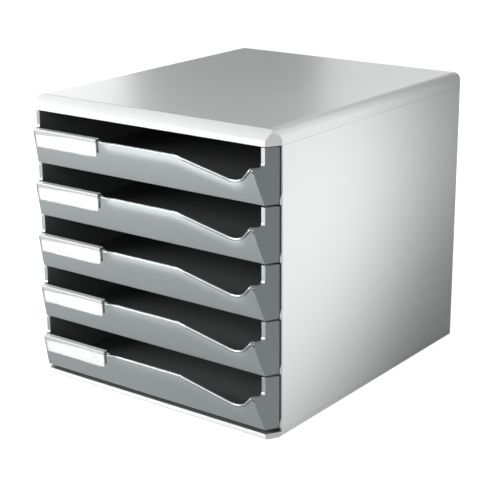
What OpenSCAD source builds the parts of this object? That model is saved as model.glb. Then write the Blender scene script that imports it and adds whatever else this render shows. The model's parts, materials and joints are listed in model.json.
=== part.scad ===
// Desktop filing unit: a moulded casing with five open-fronted drawers, one above the other.
// Millimetres. X runs to the right, Y to the back, Z up; the drawers pull out along -Y.
// The origin is under the middle of the whole outline, on the desk.

/* [Casing] */
// Overall width
case_w = 291; // [275:1:320]
// Depth from the front plane of the casing to its back face
case_d = 340.5; // [300:0.5:380]
// Wall of the side, back and top shells
case_wall = 2.5; // [2:0.1:3]
// Front corner chamfer, measured across the width
chamfer_x = 8; // [7:0.5:10]
// Front corner chamfer, measured along the depth
chamfer_y = 14.5; // [12:0.5:17]
// Radius of the upright back corners
back_corner_r = 6; // [4:0.5:9]
// How far each side panel returns across the back
back_return = 14; // [12:1:20]
// Edge radius on the front edges of the side panels
side_edge_r = 1; // [0.5:0.1:1.5]

/* [Top cover] */
// Height of the top cover
cover_h = 14.8; // [13:0.2:20]
// Height of the upright strip below the slanted facet
cover_strip_h = 5.1; // [3:0.1:7]
// How far the slanted facet runs back
facet_d = 9.5; // [7:0.5:14]
// Radius of the gentle bulge of the facet
facet_bulge_r = 40; // [25:1:90]
// Radius of the long side edges
cover_side_r = 11; // [8:0.5:12]
// Radius of the top back edge
cover_back_r = 3; // [2:0.5:5]

/* [Base] */
// Height of the base tray
base_h = 5.4; // [5:0.1:8]
// Top skin of the base
base_skin = 2; // [1.6:0.1:2.4]
// Chamfer round the lower edge
base_edge = 1.5; // [0.5:0.1:2]
// Thickness of the ribs under the base
base_rib_t = 1.6; // [1.2:0.1:2]
// Spacing of those ribs
base_rib_step = 70; // [50:2:80]
// Diameter of a foot
foot_d = 14; // [10:1:20]
// Thickness of a foot
foot_t = 2; // [1.6:0.1:2.4]
// How far a foot stands out below the base
foot_proud = 0.6; // [0.4:0.1:1]
// Distance of the feet from the sides of the base
foot_inset_x = 26; // [22:1:34]
// Distance of the feet from the front and the back of the base
foot_inset_y = 40; // [35:1:48]
// Wall of the pocket that a foot sits in
foot_pocket_t = 2.2; // [1.6:0.1:3]

/* [Drawer spacing] */
// Height from one drawer to the next
drawer_pitch = 53.4; // [50:0.2:60]
// Gap between the cheeks of neighbouring drawers
drawer_gap = 1.8; // [1.2:0.1:2.4]
// Gap between the base and the lowest drawer
base_gap = 4.4; // [4.1:0.1:7]
// Gap between the highest drawer and the top cover
cover_gap = 0.6; // [0.4:0.1:1.5]

/* [Drawer front] */
// Height of the front at its label end
front_h = 34.5; // [32:0.5:38]
// How far the front stands out at its lower edge
lean_foot = 0.3; // [0.2:0.1:1]
// How far the front stands out at its upper edge
lean_top = 10.7; // [9:0.1:13]
// Radius of the front's gentle outward curve
front_bulge_r = 350; // [250:10:600]
// Thickness of the front
front_t = 2.6; // [2.4:0.1:3.2]
// Radius along the front's upper edge
front_edge_r = 2.2; // [1.5:0.1:2.4]
// Bottom plate of the front moulding
front_floor = 1.7; // [1.5:0.1:2]
// How far the bottom plate reaches back under the tray
front_floor_d = 8.5; // [6:0.5:12]
// Thickness of the cheek walls
cheek_t = 2.2; // [1.8:0.1:2.6]
// Width of the upright bar at the front of each cheek
bar_w = 4.3; // [4:0.1:5]
// Depth of the upright bar
bar_t = 1; // [0.8:0.1:1.5]
// Fillet where the cheek steps up to the bar
step_r = 3.5; // [2:0.5:5]
// Cap that closes the top of each cheek
cheek_cap = 1.6; // [1.2:0.1:2]
// Running gap between a cheek and the edge of the side panel
cheek_gap = 1.6; // [0.8:0.1:2]
// Bevel on the rear edge of the cheek
cheek_bevel = 0.8; // [0.4:0.1:1]
// Radius of the cheek's upper rear corner
cheek_corner_r = 1.5; // [0.8:0.1:2]
// Thickness of the gussets behind the front
gusset_t = 1.6; // [1.2:0.1:2]
// Height of the gussets
gusset_h = 12; // [8:1:14]
// Spacing of the gussets
gusset_step = 88; // [70:2:100]

/* [Wave] */
// Place of the wave's lowest point, from the side of the unit
wave_inset = 39.5; // [37.5:0.5:46]
// Height of the wave's lowest point
wave_low_h = 20; // [17:0.5:24]
// Radius of the hollow
wave_low_r = 20; // [16:0.5:22]
// Slope of the long fall, in degrees
wave_fall = 13.8; // [12:0.2:18]
// Slope of the short rise, in degrees
wave_rise = 45; // [40:1:55]
// Radius where the wave leaves the straight edge
wave_start_r = 53; // [30:1:70]
// Width of the bead along the wave
bead_w = 1.8; // [1.2:0.1:2.2]
// How far the bead stands out
bead_proud = 0.8; // [0.4:0.1:1.2]
// Width of the fine groove under the bead
groove_w = 0.8; // [0.5:0.1:1.2]
// Depth of that groove
groove_d = 0.5; // [0.3:0.1:0.8]

/* [Label] */
// Distance of the label's left end from the side of the unit, along its top edge
label_inset = 15.3; // [14.9:0.1:19.5]
// Length of the label along its top edge
label_w = 79.5; // [60:0.1:100]
// How far the label's left end leans, following the mitre of the front
label_lean = 2.9; // [2.4:0.1:3.1]
// How far its right end leans
label_slant = 4.3; // [3:0.1:6]
// Height of the label's lower edge
label_low = 17.8; // [15:0.2:22]
// How far the label stands above the front's upper edge
label_rise = 1.9; // [1.2:0.1:2.5]
// Depth of the pocket that it lies in
pocket_d = 1.5; // [1.3:0.1:1.6]
// Finger room at the right end of the pocket
pocket_room = 4.2; // [3:0.2:8]
// Depth of the finger room
room_d = 3.6; // [2.5:0.1:4.5]
// Wall round the back of the finger room
room_wall = 1.1; // [0.9:0.1:1.5]
// Radius of the finger room's lower corner
pocket_corner_r = 2.8; // [1.5:0.1:3]
// Height at which the finger room starts above the label's lower edge
pocket_rise = 4; // [3:0.2:6]
// Paper thickness of the card
card_t = 0.4; // [0.3:0.1:0.5]
// Thickness of the clear cover
clear_t = 0.8; // [0.6:0.1:0.9]
// How far the cover hooks down behind the front
hook_h = 5.5; // [3:0.5:8]

/* [Tray] */
// Side and back walls of the tray
tray_wall = 1.8; // [1.5:0.1:2.2]
// Floor and runner flange of the tray
tray_floor = 1.8; // [1.5:0.1:2]
// Gap between the tray's back wall and the back of the casing
tray_back_gap = 5.5; // [5:0.5:12]
// Height of the low wall at the front of the tray
tray_front_h = 12; // [9:1:14]
// Radius of the rear corners of the tray
tray_corner_r = 6; // [4:0.5:10]
// Gap between the tray walls and the cheek caps
tray_top_gap = 0.3; // [0.2:0.1:0.5]
// Depth of the ribs under the floor
tray_rib_d = 1; // [0.6:0.1:1.2]
// Thickness of those ribs
tray_rib_t = 1.6; // [1.2:0.1:2]

/* [Runners] */
// Width of the ledge that carries a drawer
ledge_w = 6; // [5:0.5:6.5]
// Thickness of the ledge
ledge_t = 2.3; // [1.8:0.1:2.6]
// Vertical running clearance
run_gap = 0.3; // [0.2:0.05:0.5]
// Sideways running clearance
side_gap = 0.4; // [0.3:0.1:0.6]
// Height of the stop lug on the flange
lug_h = 2; // [1.5:0.1:2.5]
// Length of the lug along the drawer
lug_d = 6; // [4:1:10]
// Thickness of the upper rib that keeps a drawer from tipping
rib_t = 1.4; // [1:0.1:2]
// Length of the stop nib at the front of the channel
nib_d = 4; // [3:0.5:6]
// How far each ledge shows in front of the side panel, under the cheek
tab_d = 2; // [1.2:0.1:2.5]
// Height of the sloping end of that tab
tab_h = 9; // [5:0.5:12]
// How far a drawer pulls out before its lug meets the nib
pull_out = 250; // [180:5:255]

/* [Hidden] */
DRAWERS = [1, 2, 3, 4, 5];
CORNERS = [["front_left", -1, 0], ["front_right", 1, 0], ["rear_left", -1, 1], ["rear_right", 1, 1]];
$fn = 48;
fine = 720;                // facets of the very large arcs

shell_grey = "#e6e8e8";
front_grey = "#a2a9a9";
tray_grey = "#3a3e3d";
foot_grey = "#55585a";
clear = [0.9, 0.93, 0.95, 0.4];

over = 1;                  // how far a cutting shape runs past what it cuts
bite = 0.5;                // how far a rib or boss runs into the wall that carries it
seam = 0.1;                // gap between pieces that are plugged together
label_seam = 0.05;         // gap between the layers of a label
label_fit = 0.15;          // room round a label in its pocket

// Outline of the casing seen from above
half_w = case_w / 2;
lip_out = lean_top + bead_proud;
front_y = lip_out - (case_d + lip_out) / 2;
back_y = front_y + case_d;
tip_y = front_y - 2 * lip_out;
side_front_y = front_y + chamfer_y;
side_in = half_w - case_wall;
chamfer_len = norm([chamfer_x, chamfer_y]);

// Levels
base_top = foot_proud + base_h;
first_z = base_top + base_gap;
cheek_h = drawer_pitch - drawer_gap;
wall_top = first_z + (len(DRAWERS) - 1) * drawer_pitch + cheek_h + cover_gap;
case_top = wall_top + cover_h;
function drawer_z(n) = first_z + (len(DRAWERS) - n) * drawer_pitch;

// Plane of the chamfered front corner, moved inwards by t: its X at depth y, its Y at width x
function chamfer_at(y, t = 0) =
    half_w - chamfer_x + ((y - front_y) * chamfer_x - t * chamfer_len) / chamfer_y;
function chamfer_back(x, t) =
    front_y + ((x - half_w + chamfer_x) * chamfer_y + t * chamfer_len) / chamfer_x;

// Drawer front in the Y-Z plane: a large circle through its lower and its upper edge
chord = [lean_foot - lean_top, front_h];
bow_run = sqrt(pow(front_bulge_r, 2) - pow(norm(chord) / 2, 2));
bow_centre = [front_y - (lean_foot + lean_top) / 2, front_h / 2]
    + [chord[1], -chord[0]] * bow_run / norm(chord);
function bow_y(h, t = 0) =
    bow_centre[0] - sqrt(pow(front_bulge_r - t, 2) - pow(h - bow_centre[1], 2));

// Wave-cut edge of the front in the X-Z plane, moved down into the front by w, which grows
// from nothing along the first arc
function arc(c, r, a0, a1, steps) =
    [for (i = [0:steps]) let (a = a0 + (a1 - a0) * i / steps) c + r * [cos(a), sin(a)]];
function reversed(list) = [for (i = [len(list) - 1:-1:0]) list[i]];
low_c = [half_w - wave_inset, wave_low_h + wave_low_r];
fall_foot = low_c - wave_low_r * [sin(wave_fall), cos(wave_fall)];
fall_top_x = fall_foot[0] - (front_h - fall_foot[1]) / tan(wave_fall);
wave_start_x = fall_top_x - wave_start_r * tan(wave_fall / 2);
start_c = [wave_start_x, front_h - wave_start_r];
rise_foot = low_c + wave_low_r * [sin(wave_rise), -cos(wave_rise)];
wave_tip_x = rise_foot[0] + (front_h - rise_foot[1]) / tan(wave_rise);
start_steps = 6;           // straight pieces along the arc at the wave's start
function on_start(w, part) = let (a = 90 - wave_fall * part)
    start_c + (wave_start_r - w * part) * [cos(a), sin(a)];
function wave(w) = concat(
    [for (i = [0:start_steps]) on_start(w, i / start_steps)],
    arc(low_c, wave_low_r + w, 270 - wave_fall, 270 + wave_rise, 12),
    [[wave_tip_x + w / sin(wave_rise), front_h]]
);

// Label: both ends lean the way the mitred end of the front does
label_top = front_h + label_rise;
label_left = label_inset - half_w;
label_right = label_left + label_w;
label_slope = label_slant / (label_top - label_low);
function label_end(h) = label_right - label_slope * (label_top - h);
room_foot = label_low + pocket_rise;

// Tray, runners and stops
tray_in = half_w - chamfer_x - bar_w;
tray_out = tray_in + tray_wall;
tray_front_y = front_y + bar_t + seam;
tray_low_y = front_y + front_t - lean_foot + seam;
tray_low = front_floor;
tray_high = cheek_h - cheek_cap - tray_top_gap;
tray_lead = 5.3;           // height of the slanted lower end of the tray's side walls
tray_back_y = back_y - case_wall - tray_back_gap;
cheek_back_y = side_front_y - cheek_gap;
flange_out = side_in - side_gap;
flange_top = tray_low + tray_floor;
flange_front_y = side_front_y + tab_d;
tongue_t = 2;              // tongues of the back panel, behind the returns
tongue_w = 12;
tongue_y = back_y - case_wall - tongue_t;
ledge_in = side_in - ledge_w;
ledge_high = tray_low - run_gap;
ledge_low = ledge_high - ledge_t;
ledge_back_y = tongue_y - over;
rib_in = ledge_in + over;
rib_low = flange_top + lug_h + run_gap;
nib_y = side_front_y + 2 * tab_d;
nib_low = flange_top + run_gap;
lug_y = nib_y + nib_d + run_gap + pull_out;
tab_lip = 0.9;             // low front edge of the tab
hook_gap = 0.6;            // between the label cover's hook and the boss of the finger room
tab_gap = 0.6;             // room round the tab in the cheek
underfloor_xs = [-gusset_step, 0, gusset_step];

// Locating ribs between the top cover, the side panels and the base
key_gap = 0.3;
key_t = 2.3;
key_h = 2.8;
key_end = 16;

// Extrusions of an outline along each axis, and plain shapes between two corners
module along_x(w) {
    rotate([90, 0, 90]) linear_extrude(w, center = true) children();
}
module along_y(y0, y1) {
    translate([0, y1, 0]) rotate([90, 0, 0]) linear_extrude(y1 - y0) children();
}
module along_z(z0, z1) {
    translate([0, 0, z0]) linear_extrude(z1 - z0) children();
}
module block(low, high) {
    translate(low) cube(high - low);
}
module rect(low, high) {
    translate(low) square(high - low);
}
module both_sides() {
    children();
    mirror([1, 0, 0]) children();
}

// What a rounded corner takes away: c is the arc's centre, d points towards the corner
module corner_cut(c, d, r) {
    reach = (r + over) * d;
    translate(c) difference() {
        rect([min(0, reach[0]), min(0, reach[1])], [max(0, reach[0]), max(0, reach[1])]);
        circle(r);
    }
}

// Outline of the casing from above, moved inwards by t
module case_plan(t = 0) {
    x = half_w - t;
    y0 = front_y + t;
    y1 = back_y - t;
    r = max(back_corner_r - t, bite);
    difference() {
        polygon([
            [-chamfer_at(y0, t), y0], [chamfer_at(y0, t), y0], [x, chamfer_back(x, t)],
            [x, y1], [-x, y1], [-x, chamfer_back(x, t)]
        ]);
        for (s = [-1, 1]) corner_cut([s * (x - r), y1 - r], [s, 1], r);
    }
}

// Top cover seen from the front: long edges rounded
module cover_front_view(t) {
    x = half_w - t;
    z = case_top - t;
    r = cover_side_r - t;
    difference() {
        rect([-x, wall_top - t], [x, z]);
        for (s = [-1, 1]) corner_cut([s * (x - r), z - r], [s, 1], r);
    }
}

// Top cover seen from the side: bulged facet at the front, small radius at the back
module cover_side_view(t) {
    foot = [front_y, wall_top + cover_strip_h];
    head = [front_y + facet_d, case_top];
    run = head - foot;
    sag = sqrt(pow(facet_bulge_r, 2) - pow(norm(run) / 2, 2));
    centre = (foot + head) / 2 + [run[1], -run[0]] * sag / norm(run);
    r = max(cover_back_r - t, bite);
    difference() {
        rect([front_y + t, wall_top - t], [back_y - t, case_top - t]);
        difference() {
            rect([front_y - over, foot[1]], [head[0] + 0.01, case_top + over]);
            translate(centre) circle(facet_bulge_r - t, $fn = fine / 2);
        }
        corner_cut([back_y - t - r, case_top - t - r], [1, 1], r);
    }
}

module cover_form(t = 0) {
    intersection() {
        along_z(wall_top - t, case_top) case_plan(t);
        along_y(front_y - over, back_y + over) cover_front_view(t);
        along_x(case_w + over) cover_side_view(t);
    }
}

module top_cover() {
    key_out = side_in - key_gap;
    color(shell_grey) {
        difference() {
            cover_form();
            cover_form(case_wall);
        }
        both_sides() {
            block([key_out - key_t, side_front_y + key_end, wall_top],
                [side_in + bite, back_y - key_end, case_top - cover_side_r]);
            block([key_out - key_t, side_front_y + key_end, wall_top - key_h],
                [key_out, back_y - key_end, wall_top + bite]);
        }
    }
}

// Side panel from above: wall, rounded back corner and return
module side_plan() {
    difference() {
        intersection() {
            difference() {
                case_plan();
                case_plan(case_wall);
            }
            rect([half_w - back_return, side_front_y], [half_w, back_y]);
        }
        corner_cut([half_w - side_edge_r, side_front_y + side_edge_r], [1, -1], side_edge_r);
    }
}

// Front tab of a ledge from the side, standing on the level low and grown by g
module tab_view(low, g) {
    y = side_front_y - tab_d - g;
    polygon([
        [side_front_y + side_edge_r, low], [y, low], [y, ledge_high + tab_lip + g],
        [side_front_y, ledge_high + tab_h + g], [side_front_y + side_edge_r, ledge_high + tab_h + g]
    ]);
}

// Ledge, upper rib, stop nib and front tab of one drawer level
module runner_channel() {
    wall_x = side_in + bite;
    block([ledge_in, side_front_y, ledge_low], [wall_x, ledge_back_y, ledge_high]);
    block([rib_in, side_front_y + over, rib_low], [wall_x, ledge_back_y, rib_low + rib_t]);
    block([rib_in, nib_y, nib_low], [wall_x, nib_y + nib_d, rib_low + rib_t]);
    intersection() {
        along_x(case_w) tab_view(ledge_low, 0);
        along_z(ledge_low, drawer_pitch) polygon([
            [side_in, side_front_y - tab_d], [chamfer_at(side_front_y - tab_d, seam), side_front_y - tab_d],
            [chamfer_at(side_front_y, seam), side_front_y],
            [half_w - side_edge_r, side_front_y + side_edge_r], [side_in, side_front_y + side_edge_r]
        ]);
    }
}

module right_side_panel() {
    color(shell_grey) {
        along_z(base_top, wall_top) side_plan();
        for (n = DRAWERS) translate([0, 0, drawer_z(n)]) runner_channel();
    }
}

module left_side_panel() {
    mirror([1, 0, 0]) right_side_panel();
}

// Back panel: flush between the returns, with tongues tucked behind them
module back_panel() {
    edge = half_w - back_return - 2 * seam;
    tongue_x = side_in - (back_corner_r - case_wall) - 2 * seam;
    color(shell_grey) {
        block([-edge, back_y - case_wall, base_top], [edge, back_y, wall_top]);
        both_sides()
            block([edge - tongue_w, tongue_y, base_top],
                [edge, back_y - case_wall + bite, wall_top]);
        both_sides()
            block([edge - bite, tongue_y, base_top], [tongue_x, back_y - case_wall - seam, wall_top]);
    }
}

// Base from all three sides: the casing's outline with its lower edge chamfered
module base_outline() {
    foot_view = function (a0, a1) [
        [a0 + base_edge, foot_proud], [a1 - base_edge, foot_proud], [a1, foot_proud + base_edge],
        [a1, base_top], [a0, base_top], [a0, foot_proud + base_edge]
    ];
    intersection() {
        along_z(foot_proud, base_top) case_plan();
        along_y(front_y - over, back_y + over) polygon(foot_view(-half_w, half_w));
        along_x(case_w + over) polygon(foot_view(front_y, back_y));
    }
}

foot_x = half_w - foot_inset_x;
foot_ys = [front_y + foot_inset_y, back_y - foot_inset_y];
pocket_r = foot_d / 2 + key_gap;

module at_feet() {
    for (x = [-foot_x, foot_x], y = foot_ys) translate([x, y, 0]) children();
}

// Base: shallow tray, open below, with stiffening ribs and four foot pockets
module base_panel() {
    ceiling = base_top - base_skin;
    rib_foot = foot_proud + base_rib_t / 2;
    edge_in = case_wall - bite;
    key_out = side_in - key_gap;
    color(shell_grey) difference() {
        union() {
            difference() {
                base_outline();
                along_z(foot_proud - over, ceiling) case_plan(case_wall);
            }
            for (i = [-1:1]) {
                a = i * base_rib_step - base_rib_t / 2;
                block([a, front_y + edge_in, rib_foot], [a + base_rib_t, back_y - edge_in, ceiling + bite]);
                block([edge_in - half_w, a, rib_foot], [half_w - edge_in, a + base_rib_t, ceiling + bite]);
            }
            at_feet() translate([0, 0, foot_proud])
                cylinder(r = pocket_r + foot_pocket_t, h = ceiling - foot_proud + bite);
            both_sides()
                block([key_out - key_t, side_front_y + key_end, base_top - bite],
                    [key_out, back_y - key_end, base_top + key_h]);
        }
        at_feet() translate([0, 0, -over]) cylinder(r = pocket_r, h = foot_t + over);
    }
}

// Foot: rubber disc with a bevelled tread
module foot(side, row) {
    r = foot_d / 2;
    tread = 0.4;
    color(foot_grey) translate([side * foot_x, foot_ys[row], 0]) rotate_extrude()
        polygon([[0, 0], [r - tread, 0], [r, tread], [r, foot_t], [0, foot_t]]);
}

// Disc whose rim is the drawer front's outer face, moved in by t
module bow(t = 0) {
    translate(bow_centre) circle(front_bulge_r - t, $fn = fine);
}

// Layer of the drawer front between two depths and two heights, along the whole width
module front_layer(outer, inner, low, high) {
    along_x(case_w) difference() {
        intersection() {
            bow(outer);
            rect([tip_y, low], [front_y + front_t, high]);
        }
        bow(inner);
    }
}

// Side view of the drawer front: bulged face, rounded upper edge, filleted step, upright cheek
module front_side_view() {
    edge_h = front_h - front_edge_r;
    edge_c = [bow_y(edge_h, front_edge_r), edge_h];
    outward = (edge_c - bow_centre) / norm(edge_c - bow_centre);
    reach = 2 * front_edge_r;
    difference() {
        intersection() {
            bow();
            rect([tip_y, 0], [cheek_back_y, front_h]);
        }
        difference() {
            polygon([edge_c, edge_c + reach * outward, edge_c + reach * [-1, 2], edge_c + reach * [0, 2]]);
            translate(edge_c) circle(front_edge_r);
        }
    }
    difference() {
        rect([front_y, 0], [cheek_back_y, cheek_h]);
        corner_cut([cheek_back_y, cheek_h] - cheek_corner_r * [1, 1], [1, 1], cheek_corner_r);
    }
    difference() {
        rect([front_y - step_r, front_h - bite], [front_y + bite, front_h + step_r]);
        translate([front_y - step_r, front_h + step_r]) circle(step_r);
    }
}

// Drawer front from above: the cheeks lie in the casing's chamfer planes
module front_plan() {
    bevel_y = cheek_back_y - cheek_bevel;
    bevel_x = chamfer_at(bevel_y);
    rear_x = bevel_x - cheek_bevel / 2;
    polygon([
        [-chamfer_at(tip_y), tip_y], [chamfer_at(tip_y), tip_y], [bevel_x, bevel_y],
        [rear_x, cheek_back_y], [-rear_x, cheek_back_y], [-bevel_x, bevel_y]
    ]);
}

// Hollow behind the front, open to the tray, over a narrow bottom plate
module front_hollow() {
    bend_y = front_y + (tray_in - chamfer_at(front_y, cheek_t)) * chamfer_y / chamfer_x;
    rear_y = cheek_back_y + over;
    intersection() {
        along_x(case_w) {
            intersection() {
                bow(front_t);
                rect([tip_y, front_floor], [rear_y, cheek_h + over]);
            }
            rect([front_y + front_floor_d, -over], [rear_y, cheek_h + over]);
        }
        along_z(-over, cheek_h + over) polygon([
            [-chamfer_at(tip_y, cheek_t), tip_y], [chamfer_at(tip_y, cheek_t), tip_y],
            [tray_in, bend_y], [tray_in, rear_y], [-tray_in, rear_y], [-tray_in, bend_y]
        ]);
    }
}

// Hollow inside the right cheek, where the tray's side wall plugs in, and the room for the tab
module cheek_hollow() {
    bar_y = front_y + bar_t;
    rear_y = cheek_back_y + over;
    along_z(front_floor, cheek_h - cheek_cap) polygon([
        [tray_in - bite, bar_y], [chamfer_at(bar_y, cheek_t), bar_y],
        [chamfer_at(rear_y, cheek_t), rear_y], [tray_in - bite, rear_y]
    ]);
    intersection() {
        along_x(case_w) tab_view(-over, tab_gap);
        block([flange_out - tab_gap, tip_y, -over], [half_w, rear_y, cheek_h]);
    }
}

// Outline of the finger room at the label's right end, seen from the front and grown by g
module finger_room(g = 0) {
    lean = atan(label_slope);
    c_h = room_foot + pocket_corner_r;
    right = label_right + pocket_room;
    c_x = right - label_slope * (label_top - c_h) - pocket_corner_r / cos(lean);
    polygon(concat(
        [[label_right + label_fit - g, label_top],
         [label_end(room_foot) + label_fit - g, room_foot - g]],
        arc([c_x, c_h], pocket_corner_r + g, 270, 360 - lean, 6),
        [[right + g / cos(lean), label_top]]
    ));
}

// Everything in front of the face that lies t deep in the drawer front
module in_front_of(t) {
    along_x(case_w) difference() {
        rect([tip_y, 0], [front_y + room_d, label_top]);
        bow(t);
    }
}

// Pocket for the label, and the deeper finger room beside it
module label_pocket() {
    low = label_low - label_fit;
    intersection() {
        along_y(tip_y, front_y) polygon([
            [label_left - label_lean - label_fit, low], [label_end(low) + label_fit, low],
            [label_right + label_fit + bite, label_top], [label_left - label_fit, label_top]
        ]);
        in_front_of(pocket_d);
    }
    intersection() {
        along_y(tip_y, front_y) finger_room();
        in_front_of(room_d);
    }
}

// Boss behind the front that closes the back of the finger room
module room_back() {
    intersection() {
        along_y(tip_y, front_y + front_t) finger_room(room_wall);
        front_layer(front_t - bite, room_d + room_wall, 0, front_h);
    }
}

module wave_bead() {
    intersection() {
        along_y(tip_y, front_y) polygon(concat(wave(0), reversed(wave(bead_w))));
        front_layer(-bead_proud, front_t / 2, 0, front_h);
    }
}

module wave_groove() {
    groove_top = front_h - front_edge_r - bead_w;
    intersection() {
        along_y(tip_y, front_y) polygon(concat(wave(bead_w), reversed(wave(bead_w + groove_w))));
        front_layer(-over, groove_d, 0, groove_top);
    }
}

// Drawer front moulding, with its lower edge at z = 0
module front_moulding() {
    cut_h = front_h + step_r + over;
    difference() {
        union() {
            difference() {
                intersection() {
                    union() {
                        along_x(case_w) front_side_view();
                        wave_bead();
                    }
                    along_z(-over, cheek_h + over) front_plan();
                }
                front_hollow();
                both_sides() cheek_hollow();
                wave_groove();
                along_y(tip_y, front_y)
                    polygon(concat(wave(0), [[wave_tip_x, cut_h], [wave_start_x, cut_h]]));
            }
            room_back();
        }
        label_pocket();
    }
    for (x = underfloor_xs) translate([x, 0, 0]) along_x(gusset_t) intersection() {
        bow(front_t - bite);
        rect([tip_y, front_floor - bite], [tray_low_y - seam, gusset_h]);
    }
}

module drawer_front(n) {
    color(front_grey) translate([0, 0, drawer_z(n)]) front_moulding();
}

// Tray from above: open at the front, rounded at the rear, moved in by t
module tray_plan(t = 0) {
    x = tray_out - t;
    y = tray_back_y - t;
    r = tray_corner_r - t;
    difference() {
        rect([-x, tray_front_y], [x, y]);
        for (s = [-1, 1]) corner_cut([s * (x - r), y - r], [s, 1], r);
    }
}

// Tray with its runner flanges, stop lugs and underfloor ribs, level with its front
module tray_moulding() {
    flange_back_y = tray_back_y - tray_corner_r;
    intersection() {
        along_z(tray_low, tray_high) difference() {
            tray_plan();
            tray_plan(tray_wall);
        }
        along_x(case_w) polygon([
            [tray_low_y, tray_low], [tray_front_y, tray_low + tray_lead], [tray_front_y, tray_high],
            [tray_back_y, tray_high], [tray_back_y, tray_low]
        ]);
    }
    intersection() {
        along_z(tray_low, flange_top) tray_plan();
        block([-half_w, tray_low_y, 0], [half_w, back_y, cheek_h]);
    }
    block([-tray_in - bite, tray_low_y, tray_low],
        [tray_in + bite, tray_low_y + tray_wall, tray_front_h]);
    both_sides() {
        block([tray_out - bite, flange_front_y, tray_low], [flange_out, flange_back_y, flange_top]);
        block([ledge_in + bite, lug_y, flange_top - bite],
            [flange_out - seam, lug_y + lug_d, flange_top + lug_h]);
    }
    for (x = underfloor_xs)
        block([x - tray_rib_t / 2, cheek_back_y, tray_low - tray_rib_d],
            [x + tray_rib_t / 2, flange_back_y, tray_low + bite]);
}

module drawer_tray(n) {
    color(tray_grey) translate([0, 0, drawer_z(n)]) tray_moulding();
}

module label_prism() {
    along_y(tip_y, front_y) polygon([
        [label_left - label_lean, label_low], [label_end(label_low), label_low],
        [label_right, label_top], [label_left, label_top]
    ]);
}

// Paper strip at the bottom of the pocket
module label_card(n) {
    card_in = pocket_d - label_seam;
    color("white") translate([0, 0, drawer_z(n)]) intersection() {
        label_prism();
        front_layer(card_in - card_t, card_in, label_low, label_top - clear_t - label_seam);
    }
}

// Clear cover: face plate in the pocket, hooked over the upper edge of the front
module label_cover(n) {
    face_in = pocket_d - card_t - 2 * label_seam;
    hook_low = front_h - hook_h;
    hook_y = bow_y(hook_low, front_t) + seam;
    hook_right = label_end(room_foot) - room_wall - hook_gap;
    color(clear) translate([0, 0, drawer_z(n)]) intersection() {
        label_prism();
        union() {
            front_layer(face_in - clear_t, face_in, label_low, label_top);
            along_x(case_w) rect([bow_y(label_top - clear_t, face_in - clear_t / 2), label_top - clear_t],
                [hook_y + clear_t, label_top]);
            block([-half_w, hook_y, hook_low], [hook_right, hook_y + clear_t, label_top]);
        }
    }
}

top_cover();
left_side_panel();
right_side_panel();
back_panel();
base_panel();
for (corner = CORNERS)
    foot(corner[1], corner[2]);
for (n = DRAWERS) {
    drawer_tray(n);
    drawer_front(n);
    label_card(n);
    label_cover(n);
}
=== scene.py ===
"""Looks of the desktop filing unit: five open-fronted drawers in a moulded casing."""
import json
import math

import bmesh
import bpy
from mathutils import Matrix, Vector
from mathutils.bvhtree import BVHTree
from mathutils.geometry import intersect_point_line

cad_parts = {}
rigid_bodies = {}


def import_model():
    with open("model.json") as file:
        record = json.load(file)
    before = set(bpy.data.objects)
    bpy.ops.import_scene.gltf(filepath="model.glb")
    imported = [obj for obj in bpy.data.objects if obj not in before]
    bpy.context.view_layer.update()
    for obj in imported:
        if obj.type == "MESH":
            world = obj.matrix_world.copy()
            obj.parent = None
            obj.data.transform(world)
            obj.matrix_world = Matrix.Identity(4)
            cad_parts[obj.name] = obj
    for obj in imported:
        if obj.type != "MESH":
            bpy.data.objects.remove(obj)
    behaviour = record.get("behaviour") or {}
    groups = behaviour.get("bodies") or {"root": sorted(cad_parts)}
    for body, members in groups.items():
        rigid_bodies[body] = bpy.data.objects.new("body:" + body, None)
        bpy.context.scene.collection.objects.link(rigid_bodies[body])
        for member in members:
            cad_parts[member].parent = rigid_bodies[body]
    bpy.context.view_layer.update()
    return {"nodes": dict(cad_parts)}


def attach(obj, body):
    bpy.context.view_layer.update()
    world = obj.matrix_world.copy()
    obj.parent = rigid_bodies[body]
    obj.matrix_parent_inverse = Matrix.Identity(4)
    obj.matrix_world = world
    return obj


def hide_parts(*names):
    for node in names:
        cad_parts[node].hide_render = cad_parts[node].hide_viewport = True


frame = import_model()
MM = 0.001
DRAWERS = range(1, 6)
SPACING = 53.4             # mm from one drawer to the next
TOP_DRAWER = 224.0         # mm from the desk to the lower edge of drawer 1


# ---------------------------------------------------------------- wires and nodes

class Wire:
    """A node socket that can be used in ordinary arithmetic."""

    def __init__(self, tree, socket):
        self.tree, self.socket = tree, socket

    def _maths(self, operation, *values):
        return node(self.tree, "ShaderNodeMath", {"operation": operation}, dict(enumerate(values)))

    def __add__(self, other):
        return self._maths("ADD", self, other)

    def __sub__(self, other):
        return self._maths("SUBTRACT", self, other)

    def __rsub__(self, other):
        return self._maths("SUBTRACT", other, self)

    def __mul__(self, other):
        return self._maths("MULTIPLY", self, other)

    def __truediv__(self, other):
        return self._maths("DIVIDE", self, other)

    def clamp(self, low=0.0, high=1.0):
        return self._maths("MINIMUM", self._maths("MAXIMUM", self, low), high)

    def between(self, low, high):
        """0 below low, 1 above high, smooth in between."""
        return node(self.tree, "ShaderNodeMapRange", {"interpolation_type": "SMOOTHSTEP"},
                    {"Value": self, "From Min": low, "From Max": high})


def node(tree, kind, settings=None, inputs=None, output=0):
    """Adds any node: its settings first, then values or wires for its sockets."""
    made = tree.nodes.new(kind)
    for name, value in (settings or {}).items():
        setattr(made, name, value)
    for name, value in (inputs or {}).items():
        if isinstance(value, Wire):
            tree.links.new(value.socket, made.inputs[name])
        else:
            made.inputs[name].default_value = value
    return Wire(tree, made.outputs[output]) if made.outputs else None


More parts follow.
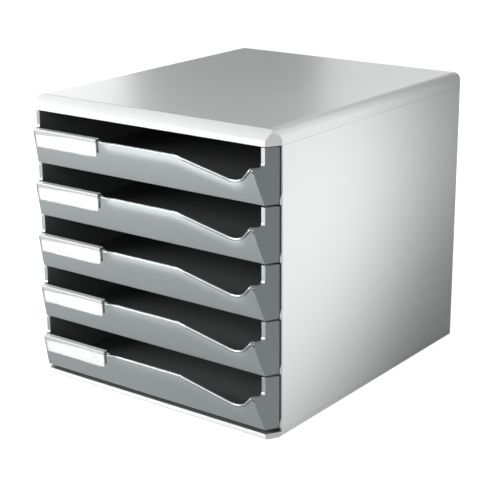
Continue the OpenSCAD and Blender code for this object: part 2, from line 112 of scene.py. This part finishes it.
def mix_colour(tree, factor, first, second):
    """Blend of two colours; either may be a wire or an (r, g, b, 1) value."""
    return node(tree, "ShaderNodeMix", {"data_type": "RGBA"},
                {0: factor, 6: first, 7: second}, output=2)


# ---------------------------------------------------------------- materials

# Charcoal: the trays' own colour, and painted shade on the faces inside the casing.
CHARCOAL, CHARCOAL_TINT = 0.14, (0.95, 1.0, 0.99)


def grey(value, tint=(1.0, 1.0, 1.0)):
    return tuple(value * channel for channel in tint) + (1.0,)


def new_material(name, **finish):
    """A material with finish values on its Principled shader, and the piece's own coordinates."""
    material = bpy.data.materials.new(name)
    material.use_nodes = True
    tree = material.node_tree
    shader = tree.nodes["Principled BSDF"]
    for socket, value in finish.items():
        shader.inputs[socket.replace("_", " ").title()].default_value = value
    return material, tree, shader, node(tree, "ShaderNodeTexCoord", output="Object")


def feed(tree, shader, **wires):
    """Joins wires to the shader's sockets, which are named in small letters."""
    for socket, wire in wires.items():
        tree.links.new(wire.socket, shader.inputs[socket.replace("_", " ").title()])


def noise(tree, place, size_mm, detail=2.0, roughness=0.5, stretch=(1.0, 1.0, 1.0)):
    """Noise from 0 to 1 whose grains are about size_mm across."""
    where = node(tree, "ShaderNodeMapping", {"vector_type": "POINT"},
                 {"Vector": place, "Scale": stretch})
    return node(tree, "ShaderNodeTexNoise", {},
                {"Vector": where, "Scale": 1.0 / (size_mm * MM), "Detail": detail,
                 "Roughness": roughness})


def bump(tree, height_mm):
    return node(tree, "ShaderNodeBump", {}, {"Height": height_mm, "Strength": 1.0, "Distance": MM})


def moulded_plastic(name, colour, tint, roughness, grain_mm, grain_depth_mm, **finish):
    """Injection-moulded plastic: faint flow marks, a fine mould grain, uneven gloss round the
    given roughness, and edges that handling has polished a little glossier, their colour painted a
    little lighter as a painted highlight. Faces marked as inner get charcoal: painted shade."""
    material, tree, shader, place = new_material(name, **finish)
    flow = noise(tree, place, 110, detail=2, stretch=(1.0, 0.5, 1.0))
    cloud = noise(tree, place, 22, detail=2)
    grain = noise(tree, place, grain_mm, detail=2)
    rim = node(tree, "ShaderNodeAttribute", {"attribute_name": "rim"}, output="Fac").clamp()
    tone = (flow * 0.75 + cloud * 0.15 + grain * 0.1).between(0.3, 0.7)
    body = mix_colour(tree, tone, grey(colour * 0.985, tint), grey(colour, tint))
    # Rounded edges painted lighter: a painted highlight; their lower roughness below is real polish
    # from handling.
    painted_edge_highlight = mix_colour(tree, rim * 0.5, body, grey(min(colour * 1.1, 0.9), tint))
    inner = node(tree, "ShaderNodeAttribute", {"attribute_name": "inner"}, output="Fac")
    cloud_swing, grain_swing = 0.006, 0.04
    least = roughness - (cloud_swing + grain_swing) / 2
    # Inner faces mixed to charcoal: painted shade inside the casing.
    feed(tree, shader, base_color=mix_colour(tree, inner, painted_edge_highlight, grey(CHARCOAL, CHARCOAL_TINT)),
         roughness=cloud * cloud_swing + grain * grain_swing + least - rim * 0.05,
         normal=bump(tree, grain * grain_depth_mm))
    return material


def paper():
    material, tree, shader, place = new_material("label_paper")
    fibres = noise(tree, place, 0.4, detail=4, roughness=0.65, stretch=(0.35, 1.0, 1.0))
    cloud = noise(tree, place, 6, detail=2)
    tone = (fibres * 0.6 + cloud * 0.4).between(0.35, 0.65)
    feed(tree, shader, base_color=mix_colour(tree, tone, grey(0.88), grey(0.94)),
         roughness=fibres * 0.1 + 0.75, normal=bump(tree, fibres * 0.01))
    return material


def clear_plastic():
    material, tree, shader, place = new_material("clear_cover_plastic")
    haze = noise(tree, place, 12, detail=3)
    feed(tree, shader, base_color=mix_colour(tree, haze, grey(0.95), grey(0.99)),
         roughness=haze * 0.06 + 0.05, alpha=haze * 0.04 + 0.32, normal=bump(tree, haze * 0.02))
    return material


SHELL = moulded_plastic("shell_plastic", 0.80, (0.985, 1.0, 1.0), 0.28, 0.5, 0.003)
FRONT = moulded_plastic("front_plastic", 0.42, (0.92, 1.0, 1.0), 0.36, 0.35, 0.003, metallic=0.6)
TRAY = moulded_plastic("tray_plastic", CHARCOAL, CHARCOAL_TINT, 0.55, 0.6, 0.01)
RUBBER = moulded_plastic("foot_rubber", 0.05, (1.0, 1.0, 1.0), 0.75, 0.8, 0.02)
PAPER = paper()
CLEAR = clear_plastic()


# ---------------------------------------------------------------- meshes

SHARP = math.radians(25)   # edges that turn more than this are rounded
THROWN = 0.5               # no rounding moves a point by more than this share of its radius
TOUCHING = 0.01            # mm between things that count as one


def new_piece(name, mesh, material=None):
    piece = bpy.data.objects.new(name, mesh)
    bpy.context.scene.collection.objects.link(piece)
    if material:
        mesh.materials.clear()
        mesh.materials.append(material)
    return piece


def nowhere(*_):
    return False


def finished(piece):
    """Turns the piece's modifiers into a plain mesh, without the doubled faces they may leave."""
    graph = bpy.context.evaluated_depsgraph_get()
    mesh = bpy.data.meshes.new_from_object(piece.evaluated_get(graph))
    mesh.validate()
    mesh.name = piece.name
    piece.modifiers.clear()
    piece.data = mesh
    return piece


def without_flaps(mesh):
    """Takes out a face that hangs on the closed skin by one edge, left over from a doubled face."""
    work = bmesh.new()
    work.from_mesh(mesh)
    flaps = [face for face in work.faces
             if sum(edge.is_boundary for edge in face.edges) == len(face.edges) - 1]
    bmesh.ops.delete(work, geom=flaps, context="FACES")
    work.to_mesh(mesh)
    work.free()
    return mesh


def merged_copy(node_name, name):
    """A clean copy of a CAD node: doubles merged, flat stretches made one face."""
    raw = frame["nodes"][node_name].data
    mesh = bpy.data.meshes.new(name)
    mesh.from_pydata([v.co[:] for v in raw.vertices], [], [p.vertices[:] for p in raw.polygons])
    work = bmesh.new()
    work.from_mesh(mesh)
    bmesh.ops.remove_doubles(work, verts=work.verts, dist=0.004 * MM)
    bmesh.ops.dissolve_limit(work, angle_limit=math.radians(0.4),
                             verts=work.verts, edges=work.edges)
    bmesh.ops.recalc_face_normals(work, faces=work.faces)
    work.to_mesh(mesh)
    work.free()
    return new_piece(name, mesh)


def smoothly_shaded(piece):
    """Shades the piece smooth between its sharp edges, with the large faces kept flat."""
    mesh = piece.data
    mesh.polygons.foreach_set("use_smooth", [True] * len(mesh.polygons))
    normals = piece.modifiers.new("normals", "WEIGHTED_NORMAL")
    normals.weight, normals.keep_sharp = 60, True
    return finished(piece)


def soften(piece, material, radius_mm, crisp=nowhere, inner=nowhere):
    """Rounds the sharp edges as a mould leaves them, but not where crisp(place) is true. Points
    that the rounding throws off the surface go back on it. The rounded edges are marked for the
    material's painted edge highlight, and the faces where inner(place, normal) is true for its
    painted shade."""
    work = bmesh.new()
    work.from_mesh(piece.data)
    surface = BVHTree.FromBMesh(work)
    weight = work.edges.layers.float.new("bevel_weight_edge")
    for edge in work.edges:
        edge.smooth = edge.calc_face_angle(0.0) < SHARP
        if not edge.smooth and not crisp((edge.verts[0].co + edge.verts[1].co) / 2 / MM):
            edge.smooth, edge[weight] = True, 1.0
    work.to_mesh(piece.data)
    work.free()
    bevel = piece.modifiers.new("edges", "BEVEL")
    bevel.width, bevel.segments, bevel.limit_method = radius_mm * MM, 2, "WEIGHT"
    bevel.miter_outer = "MITER_ARC"
    bevel.use_clamp_overlap = False
    mesh = without_flaps(finished(piece).data)
    rim = mesh.attributes.new("rim", "FLOAT", "POINT")
    for vertex in mesh.vertices:
        nearest, _, _, distance = surface.find_nearest(vertex.co)
        if distance > THROWN * radius_mm * MM:
            vertex.co = nearest
        elif distance > TOUCHING * MM:
            rim.data[vertex.index].value = 1.0
    marks = mesh.attributes.new("inner", "FLOAT", "FACE")
    marks.data.foreach_set("value", [float(inner(f.center / MM, f.normal)) for f in mesh.polygons])
    smoothly_shaded(piece).data.materials.clear()
    piece.data.materials.append(material)
    return piece


def stacked(piece, n):
    """The same piece in drawer n, so many spacings below the top drawer's."""
    if n == 1:
        return piece
    mesh = piece.data.copy()
    mesh.transform(Matrix.Translation((0, 0, -SPACING * (n - 1) * MM)))
    return new_piece(piece.name.replace("_1", "_%d" % n), mesh)


def belongs(piece, body, slot, *replaced):
    """Puts a finished piece on its body, in place of these CAD nodes. Its slot is not used."""
    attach(piece, body)
    if replaced:
        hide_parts(*replaced)


def paint(node_name, material):
    """Gives a CAD node, kept as it is, a finished material."""
    mesh = frame["nodes"][node_name].data
    mesh.materials.clear()
    mesh.materials.append(material)


# ---------------------------------------------------------------- drawer front
# Millimetres, with heights above the drawer's lower edge. First the sizes of the solid.

FRONT_TOP, FRONT_WALL, EDGE_ROUNDING = 34.5, 2.6, 2.2
BOW_Y, BOW_H, BOW_R = 164.66, 118.133, 350.0             # the bow's centre and radius
WAVE_FALL, WAVE_RISE = math.radians(13.8), math.radians(45)
WAVE_START, START_R = 38.14, 53.0
WAVE_LOW, LOW_R, WAVE_TIP = (106.0, 40.0), 20.0, 128.784
GROOVE_DEPTH = 0.5
PLATE_UNDERSIDE, PLATE_FRONT = 1.7, -162.5               # height and Y of the bottom plate
CHEEK, SOLID_BEAD_END = 136, 127                         # X where each of them begins and ends

# Then what the eye sees on top of it.

TIGHT_ROUNDING, TIGHT_UNTIL = 0.9, 90                    # the upper edge left of this X
ROLL_DEPTH, ROLL_WIDTH = 2.2, 12.0                       # the face's roll towards its edge
ROLL_FROM, ROLL_UNTIL, FADE_IN, FADE_OUT = -44, 125, 10, 12
ROLL_INSIDE = 0.35                                       # share that the inner skin follows
GROOVE_DEEPER, GROOVE_FADE_IN, GROOVE_FADE_OUT = 0.8, 25, 8
STRIP, COLUMN = 1.5, 3                                   # the face is cut this fine
NEAR_EDGE = [33.7, 34.0, 34.25, 34.42]                   # and at these heights
ON_SKIN, ON_LINE = 0.1, 0.05                             # how near a point is to be on it


def bow_y(height, inside=0.0):
    """Y of the bowed face at a height, or of a skin so far inside it."""
    return BOW_Y - math.sqrt((BOW_R - inside) ** 2 - (height - BOW_H) ** 2)


def edge_rounding(x):
    """Rounding of the upper edge as it looks: tighter left of the wave than the solid's."""
    return TIGHT_ROUNDING if x < TIGHT_UNTIL else EDGE_ROUNDING


def face_y(height, rounding=EDGE_ROUNDING):
    """Y of the outer face at a height, over the rounded upper edge too."""
    middle = FRONT_TOP - rounding
    if height < middle - rounding * (BOW_H - middle) / (BOW_R - rounding):
        return bow_y(height)
    reach = max(rounding ** 2 - (height - middle) ** 2, 0.0)
    return bow_y(middle, rounding) - math.sqrt(reach)


def arc(centre, radius, start, end, steps):
    """Points (x, height) on an arc; angles in radians from +X."""
    turns = [start + (end - start) * i / steps for i in range(steps + 1)]
    return [Vector((centre[0] + radius * math.cos(a), centre[1] + radius * math.sin(a), 0))
            for a in turns]


UP, DOWN = math.pi / 2, -math.pi / 2
WAVE = (arc((WAVE_START, FRONT_TOP - START_R), START_R, UP, UP - WAVE_FALL, 8)
        + arc(WAVE_LOW, LOW_R, DOWN - WAVE_FALL, DOWN + WAVE_RISE, 24)
        + [Vector((WAVE_TIP, FRONT_TOP, 0))])
UPPER_EDGE = [Vector((-60, FRONT_TOP, 0))] + WAVE + [Vector((140, FRONT_TOP, 0))]


def below(edge, x, height):
    """Offset of a point of the face from the nearest point of an edge."""
    here = Vector((x, height, 0))
    feet = []
    for a, b in zip(edge, edge[1:]):
        foot, part = intersect_point_line(here, a, b)
        feet.append(here - (a if part < 0 else b if part > 1 else foot))
    return min(feet, key=lambda offset: offset.length_squared)


def roll(x, height):
    """How far the face rolls back near its upper edge and along the wave."""
    fade = min((x - ROLL_FROM) / FADE_IN, (ROLL_UNTIL - x) / FADE_OUT, 1.0)
    if fade <= 0 or height > FRONT_TOP + TOUCHING:
        return 0.0
    distance = min(below(UPPER_EDGE, x, height).length, ROLL_WIDTH)
    return ROLL_DEPTH * (1 - distance / ROLL_WIDTH) ** 2 * fade * fade * (3 - 2 * fade)


def on_outer_skin(vertex):
    height = vertex.co.z
    return height < FRONT_TOP + TOUCHING and abs(vertex.co.y - face_y(height)) < ON_SKIN


def on_inner_skin(vertex):
    height = vertex.co.z
    return height < FRONT_TOP + TOUCHING and abs(vertex.co.y - bow_y(height, FRONT_WALL)) < ON_SKIN


def take_bead_off(work):
    """Pushes the solid's plain bead back into the face, where the swept bead takes its place."""
    for vertex in work.verts:
        x, y, height = vertex.co
        if (x < SOLID_BEAD_END and height < FRONT_TOP + TOUCHING
                and y < face_y(height) - TOUCHING):
            vertex.co.y = face_y(height)
    bmesh.ops.remove_doubles(work, verts=work.verts, dist=TOUCHING)
    bmesh.ops.dissolve_limit(work, angle_limit=math.radians(0.3),
                             verts=work.verts, edges=work.edges)


def cut_fine(work):
    """Cuts both skins of the face into strips and columns that can follow the bow and the roll."""
    heights = [STRIP * i for i in range(1, 23)] + NEAR_EDGE
    cuts = [(Vector((0, 0, height)), Vector((0, 0, 1))) for height in heights]
    cuts += [(Vector((x, 0, 0)), Vector((1, 0, 0))) for x in range(-132, 133, COLUMN)]
    for spot, normal in cuts:
        skin = [face for face in work.faces
                if all(map(on_outer_skin, face.verts)) or all(map(on_inner_skin, face.verts))]
        around = {e for f in skin for e in f.edges} | {v for f in skin for v in f.verts}
        cut = bmesh.ops.bisect_plane(work, geom=skin + list(around), plane_co=spot,
                                     plane_no=normal, dist=1e-4)["geom_cut"]
        for vertex in (v for v in cut if isinstance(v, bmesh.types.BMVert)):
            x, y, height = vertex.co
            beside_face = 0.02 < abs(y - face_y(height)) < 0.5
            if beside_face and below(WAVE, x, height).length < ON_LINE:
                vertex.co.y = face_y(height)


def roll_face(work):
    """Rolls the outer skin back towards its edge, the groove and the inner skin with it."""
    for vertex in work.verts:
        x, y, height = vertex.co
        in_groove = abs(y - bow_y(height, GROOVE_DEPTH)) < ON_LINE
        back = roll(x, height)
        if on_outer_skin(vertex):
            if abs(x) < CHEEK:
                vertex.co.y = face_y(height, edge_rounding(x))
        elif in_groove and WAVE_START < x < WAVE_TIP:
            back += GROOVE_DEEPER * min((x - WAVE_START) / GROOVE_FADE_IN,
                                        (WAVE_TIP - x) / GROOVE_FADE_OUT, 1.0)
        elif on_inner_skin(vertex):
            back *= ROLL_INSIDE
        else:
            continue
        vertex.co.y += back


def crisp_on_front(place):
    """Edges that stay sharp: those under the bead and those under the bottom plate."""
    x, y, height = place - Vector((0, 0, TOP_DRAWER))
    if abs(height - PLATE_UNDERSIDE) < ON_SKIN and y > PLATE_FRONT:
        return True
    return (36 < x < 126 and y < bow_y(height) + 6 and height < FRONT_TOP + ON_SKIN
            and below(WAVE, x, height).length < 3.3)


def shaped_front():
    """Drawer front with its true bow, and its face rolling gently back towards the wave."""
    piece = merged_copy("drawer_front_1", "drawer_front_1_moulded")
    lift = Vector((0, 0, TOP_DRAWER))
    work = bmesh.new()
    work.from_mesh(piece.data)
    for vertex in work.verts:
        vertex.co = vertex.co / MM - lift
    take_bead_off(work)
    cut_fine(work)
    roll_face(work)
    for vertex in work.verts:
        vertex.co = (vertex.co + lift) * MM
    bmesh.ops.recalc_face_normals(work, faces=work.faces)
    work.to_mesh(piece.data)
    work.free()
    return soften(piece, FRONT, 0.28, crisp_on_front)


# ---------------------------------------------------------------- what repeats or follows a path

class Rule:
    """A Geometry Nodes tree with named inputs; its maths is written like the shaders'."""

    def __init__(self, name, **inputs):
        self.tree = bpy.data.node_groups.new(name, "GeometryNodeTree")
        face = self.tree.interface
        face.new_socket("Geometry", in_out="OUTPUT", socket_type="NodeSocketGeometry")
        kinds = {"geometry": "Geometry", **inputs, "material": "Material"}
        self.ids = {label: face.new_socket(label, in_out="INPUT",
                                           socket_type="NodeSocket" + kind).identifier
                    for label, kind in kinds.items()}
        entry = self.tree.nodes.new("NodeGroupInput")
        self.inputs = {label: Wire(self.tree, entry.outputs[label]) for label in kinds}

    def add(self, kind, settings=None, inputs=None, output=0):
        return node(self.tree, "GeometryNode" + kind, settings, inputs, output)

    def end(self, geometry):
        plain = self.add("RealizeInstances", {}, {"Geometry": geometry})
        smooth = self.add("SetShadeSmooth", {}, {"Geometry": plain})
        painted = self.add("SetMaterial", {},
                           {"Geometry": smooth, "Material": self.inputs["material"]})
        out = self.tree.nodes.new("NodeGroupOutput")
        self.tree.links.new(painted.socket, out.inputs[0])

    def make(self, name, mesh, material, **values):
        piece = new_piece(name, mesh)
        modifier = piece.modifiers.new("rule", "NODES")
        modifier.node_group = self.tree
        for label, value in dict(values, material=material).items():
            modifier[self.ids[label]] = value
        return finished(piece)


def bead_rule():
    """A rounded bead swept along an edge, hanging below it with its face tilted up, thinning out
    at both ends."""
    rule = Rule("bead_along_an_edge", width="Float", proud="Float", sunk="Float", rounding="Float",
                tilt="Float", taper_in="Float", taper_out="Float")
    i = rule.inputs
    line = rule.add("MeshToCurve", {}, {"Mesh": i["geometry"]})
    line = rule.add("SetCurveNormal", {"mode": "FREE"}, {"Curve": line, "Normal": (0, -1, 0)})
    run = rule.add("SplineParameter", output="Length")
    whole = rule.add("SplineLength", output="Length")
    starting = (run / i["taper_in"]).between(0.0, 1.0)
    ending = ((whole - run) / i["taper_out"]).between(0.0, 1.0)
    section = rule.add("CurvePrimitiveQuadrilateral", {},
                       {"Width": i["proud"] + i["sunk"], "Height": i["width"]})
    shift = node(rule.tree, "ShaderNodeCombineXYZ", {},
                 {"X": (i["proud"] - i["sunk"]) * 0.5, "Y": i["width"] * 0.5})
    section = rule.add("Transform", {}, {"Geometry": section, "Translation": shift})
    turn = node(rule.tree, "ShaderNodeCombineXYZ", {}, {"Z": i["tilt"] * -1})
    section = rule.add("Transform", {}, {"Geometry": section, "Rotation": turn})
    section = rule.add("FilletCurve", {"mode": "POLY"},
                       {"Curve": section, "Count": 4, "Radius": i["rounding"]})
    thinnest = 0.03
    rule.end(rule.add("CurveToMesh", {}, {
        "Curve": line, "Profile Curve": section, "Fill Caps": True,
        "Scale": starting * ending * (1 - thinnest) + thinnest}))
    return rule


def wave_bead():
    """The bead of drawer 1's front, along its wave and a hair above it."""
    points, step, above = [WAVE[0]], 1.5, 0.05
    for point in WAVE[1:]:
        steps = max(1, round((point - points[-1]).length / step))
        points += [points[-1].lerp(point, k / steps) for k in range(1, steps + 1)]
    places = [Vector((p.x, face_y(p.y, edge_rounding(p.x)) + roll(p.x, p.y),
                      TOP_DRAWER + p.y + above)) * MM for p in points]
    mesh = bpy.data.meshes.new("wave_edge")
    mesh.from_pydata(places, [(k, k + 1) for k in range(len(places) - 1)], [])
    return bead_rule().make("wave_bead_1", mesh, FRONT, width=1.9 * MM, proud=0.27 * MM,
                            sunk=1.2 * MM, rounding=0.45 * MM, tilt=math.radians(20),
                            taper_in=14 * MM, taper_out=2.5 * MM)


def pin_ring_rule():
    """Rings that ejector pins leave on a flat underside, on a grid of places."""
    rule = Rule("ejector_pin_rings", across="Float", along="Float", columns="Int", rows="Int",
                middle="Vector", radius="Float", line="Float")
    i = rule.inputs
    grid = rule.add("MeshGrid", {}, {"Size X": i["across"], "Size Y": i["along"],
                                     "Vertices X": i["columns"], "Vertices Y": i["rows"]})
    grid = rule.add("Transform", {}, {"Geometry": grid, "Translation": i["middle"]})
    ring = rule.add("CurvePrimitiveCircle", {}, {"Resolution": 20, "Radius": i["radius"]})
    line = rule.add("CurvePrimitiveCircle", {}, {"Resolution": 6, "Radius": i["line"]})
    ring = rule.add("CurveToMesh", {}, {"Curve": ring, "Profile Curve": line})
    rule.end(rule.add("InstanceOnPoints", {}, {"Points": grid, "Instance": ring}))
    return rule


def lathe(name, section, centre, material, turns=48):
    """A turned disc. Its section is a list of (radius, height) in mm, from the middle of the
    lower face to the middle of the upper one."""
    rings = section[1:-1]
    points = [(0, 0, section[0][1]), (0, 0, section[-1][1])]
    for k in range(turns):
        a = 2 * math.pi * k / turns
        points += [(r * math.cos(a), r * math.sin(a), h) for r, h in rings]
    faces = []
    for k in range(turns):
        here, there = 2 + k * len(rings), 2 + (k + 1) % turns * len(rings)
        faces.append((0, there, here))
        faces += [(here + j, there + j, there + j + 1, here + j + 1)
                  for j in range(len(rings) - 1)]
        faces.append((1, here + len(rings) - 1, there + len(rings) - 1))
    mesh = bpy.data.meshes.new(name)
    mesh.from_pydata([(Vector(p) + Vector(centre)) * MM for p in points], [], faces)
    return smoothly_shaded(new_piece(name, mesh, material))


# ---------------------------------------------------------------- the unit

CASING_MIDDLE = Vector((0, 0, 148))


def panel_inside_painted_shade(place, _):
    """Faces of the side panels that look into the casing, painted charcoal as painted shade."""
    return abs(place.x) < 144.55 and place.y < 150


def plate_inside_painted_shade(place, normal):
    """Faces of the cover, the base and the back panel that look into the casing, painted charcoal
    as painted shade.
    """
    inwards = CASING_MIDDLE - place
    within = abs(place.x) < 142 and -162 < place.y < 175
    return within and normal.dot(inwards) > 0.5 * inwards.length


def channel_mouth(place):
    """Edges of the side panels at the front end of the runner channels, which stay sharp."""
    return abs(place.y + 150) < 0.1 and abs(place.x) < 144.6


def tray_underside(place):
    """Edges under a tray's floor and flanges, which stay sharp."""
    height = place.z - TOP_DRAWER
    return height < PLATE_UNDERSIDE + 0.1 or (height < 3.6 and abs(place.x) > 137)


# Faces that look into the casing are painted charcoal: painted shade.
for shell, rounding, crisp, inside in (
        ("top_cover", 0.5, nowhere, plate_inside_painted_shade),
        ("left_side_panel", 0.3, channel_mouth, panel_inside_painted_shade),
        ("right_side_panel", 0.3, channel_mouth, panel_inside_painted_shade),
        ("back_panel", 0.3, nowhere, plate_inside_painted_shade),
        ("base_panel", 0.4, nowhere, plate_inside_painted_shade)):
    belongs(soften(merged_copy(shell, shell + "_moulded"), SHELL, rounding, crisp, inside),
            "casing", "shell", shell)

# Two ring grooves underneath, a rounded rim, and 2 mm of rubber in all
FOOT_SECTION = [(0, 0), (1.9, 0), (2.2, 0.35), (2.8, 0.35), (3.1, 0), (4.3, 0), (4.6, 0.35),
                (5.2, 0.35), (5.5, 0), (6.55, 0), (6.85, 0.12), (7.0, 0.42), (7.0, 1.9),
                (6.9, 2.0), (0, 2.0)]
for row, y in (("front", -124.5), ("rear", 136.0)):
    for side, x in (("left", -119.5), ("right", 119.5)):
        corner = "%s_%s_foot" % (row, side)
        belongs(lathe(corner + "_rubber", FOOT_SECTION, (x, y, 0), RUBBER),
                "casing", "foot_rubber", corner)

pin_rings = pin_ring_rule()
PIN_SIZE = {"radius": 3.2 * MM, "line": 0.22 * MM}
belongs(pin_rings.make("base_pin_rings", bpy.data.meshes.new("base_pins"), SHELL,
                       across=210 * MM, along=210 * MM, columns=4, rows=4,
                       middle=(0, 0, 4.0 * MM), **PIN_SIZE), "casing", "shell")

front, bead = shaped_front(), wave_bead()
tray = soften(merged_copy("drawer_tray_1", "drawer_tray_1_moulded"), TRAY, 0.3, tray_underside)
rings = pin_rings.make("tray_pin_rings_1", bpy.data.meshes.new("tray_pins"), TRAY,
                       across=220 * MM, along=240 * MM, columns=6, rows=5,
                       middle=(0, 10 * MM, (TOP_DRAWER + PLATE_UNDERSIDE) * MM), **PIN_SIZE)
for n in DRAWERS:
    body = "drawer_%d" % n
    belongs(stacked(front, n), body, "front", "drawer_front_%d" % n)
    belongs(stacked(bead, n), body, "front")
    belongs(stacked(tray, n), body, "tray", "drawer_tray_%d" % n)
    belongs(stacked(rings, n), body, "tray")
    paint("label_card_%d" % n, PAPER)
    paint("label_cover_%d" % n, CLEAR)


# ---------------------------------------------------------------- stage, light, camera
# Metres, watts and degrees

UNIT_MIDDLE = (0, 0, 0.15)
CAMERA = Vector((0.811, -1.097, 0.551))


def ray_kinds(tree):
    """Light Path masks: seen by the camera, in gloss, through clear plastic."""
    return [node(tree, "ShaderNodeLightPath", output=name)
            for name in ("Is Camera Ray", "Is Glossy Ray", "Is Transmission Ray")]


def stage_floor():
    """White floor that keeps the shadow: a grey surface with a glow that only the eye sees."""
    reach = 12.0
    mesh = bpy.data.meshes.new("floor")
    corners = [(-reach, -reach, 0), (reach, -reach, 0), (reach, reach, 0), (-reach, reach, 0)]
    mesh.from_pydata(corners, [], [(0, 1, 2, 3)])
    material = bpy.data.materials.new("floor_white")
    material.use_nodes = True
    tree = material.node_tree
    tree.nodes.clear()
    camera, gloss, through = ray_kinds(tree)
    diffuse = node(tree, "ShaderNodeBsdfDiffuse", {}, {"Color": grey(0.45)})
    glow = node(tree, "ShaderNodeEmission", {},
                {"Strength": camera * 0.95 + gloss * 0.05 + through * 0.95})
    both = node(tree, "ShaderNodeAddShader", {}, {0: diffuse, 1: glow})
    node(tree, "ShaderNodeOutputMaterial", {}, {"Surface": both})
    new_piece("floor", mesh, material)


def stage_world():
    """White backdrop, dimmer in gloss and dimmer still as light on the piece."""
    world = bpy.data.worlds.new("studio")
    world.use_nodes = True
    bpy.context.scene.world = world
    tree = world.node_tree
    tree.nodes.clear()
    camera, gloss, through = ray_kinds(tree)
    soft = 1 - camera - gloss - through
    back = node(tree, "ShaderNodeBackground", {},
                {"Strength": camera + through + gloss * 0.28 + soft * 0.15})
    node(tree, "ShaderNodeOutputWorld", {}, {"Surface": back})


def lamp(name, kind, where, target, watts, **settings):
    """A lamp at one place that points at another and doesn't show itself."""
    light = bpy.data.lights.new(name, kind)
    light.energy = watts
    for setting, value in settings.items():
        setattr(light, setting, value)
    holder = bpy.data.objects.new(name, light)
    bpy.context.scene.collection.objects.link(holder)
    holder.location = where
    holder.rotation_mode = "QUATERNION"
    holder.rotation_quaternion = (Vector(target) - Vector(where)).to_track_quat("-Z", "Y")
    holder.visible_camera = False
    return holder


def softbox(name, where, target, width, height, watts):
    lamp(name, "AREA", where, target, watts, shape="RECTANGLE", size=width, size_y=height)


def pool(name, where, target, cone, watts):
    """Soft patch of light without a mirror image of its own."""
    lamp(name, "SPOT", where, target, watts, spot_size=math.radians(cone), spot_blend=1.0,
         shadow_soft_size=0.1).visible_glossy = False


def around(azimuth, elevation, distance):
    """A place round the unit's middle; azimuth 0 is in front, 90 at the right."""
    azimuth, elevation = math.radians(azimuth), math.radians(elevation)
    return (distance * math.sin(azimuth) * math.cos(elevation),
            -distance * math.cos(azimuth) * math.cos(elevation),
            UNIT_MIDDLE[2] + distance * math.sin(elevation))


def mirrored_panel(name, left, right, watts):
    """Upright panel behind the unit that the lid mirrors; its edges are given in degrees left of
    the direction straight back, as the camera sees them."""
    distance, height, middle_z = 3.2, 1.2, 0.7
    ends = [CAMERA + distance * Vector((-math.sin(math.radians(a)), math.cos(math.radians(a)), 0))
            for a in (left, right)]
    middle = (ends[0] + ends[1]) / 2
    softbox(name, (middle.x, middle.y, middle_z), (0, 0, middle_z),
            (ends[0] - ends[1]).length, height, watts)


def set_camera():
    """The camera of the photograph, without its vertical shift."""
    azimuth, elevation, roll_angle = (math.radians(a) for a in (36.94, 17.28, -0.43))
    focal_px, frame_px = 1374.0, 480.0
    data = bpy.data.cameras.new("camera")
    data.sensor_width = 36.0
    data.lens = focal_px / frame_px * data.sensor_width
    data.clip_start, data.clip_end = 0.05, 60.0
    camera = bpy.data.objects.new("camera", data)
    bpy.context.scene.collection.objects.link(camera)
    look = Vector((-math.sin(azimuth) * math.cos(elevation),
                   math.cos(azimuth) * math.cos(elevation), -math.sin(elevation)))
    turn = Matrix.Rotation(roll_angle, 3, "Z")
    camera.rotation_mode = "QUATERNION"
    camera.rotation_quaternion = (look.to_track_quat("-Z", "Y").to_matrix() @ turn).to_quaternion()
    camera.location = CAMERA
    bpy.context.scene.camera = camera


stage_floor()
stage_world()
softbox("front_left_softbox", around(-42, 20, 1.8), UNIT_MIDDLE, 1.2, 0.6, 31)
softbox("near_front_softbox", (-0.1, -0.62, 0.12), (0.05, -0.165, 0.16), 0.6, 0.22, 1)
softbox("camera_side_fill", around(37, 20, 2.0), UNIT_MIDDLE, 0.8, 0.8, 6)
pool("side_low_pool", around(118, 10, 1.3), (0.1455, -0.2, 0.2), 26, 48)
pool("side_edge_pool", around(150, 8, 1.6), (0.1455, -0.18, 0.18), 18, 77)
mirrored_panel("back_left_softbox", 62, 41, 9.1)
mirrored_panel("back_right_softbox", 34, 12, 5.7)
set_camera()
bpy.context.scene.view_settings.view_transform = "Standard"
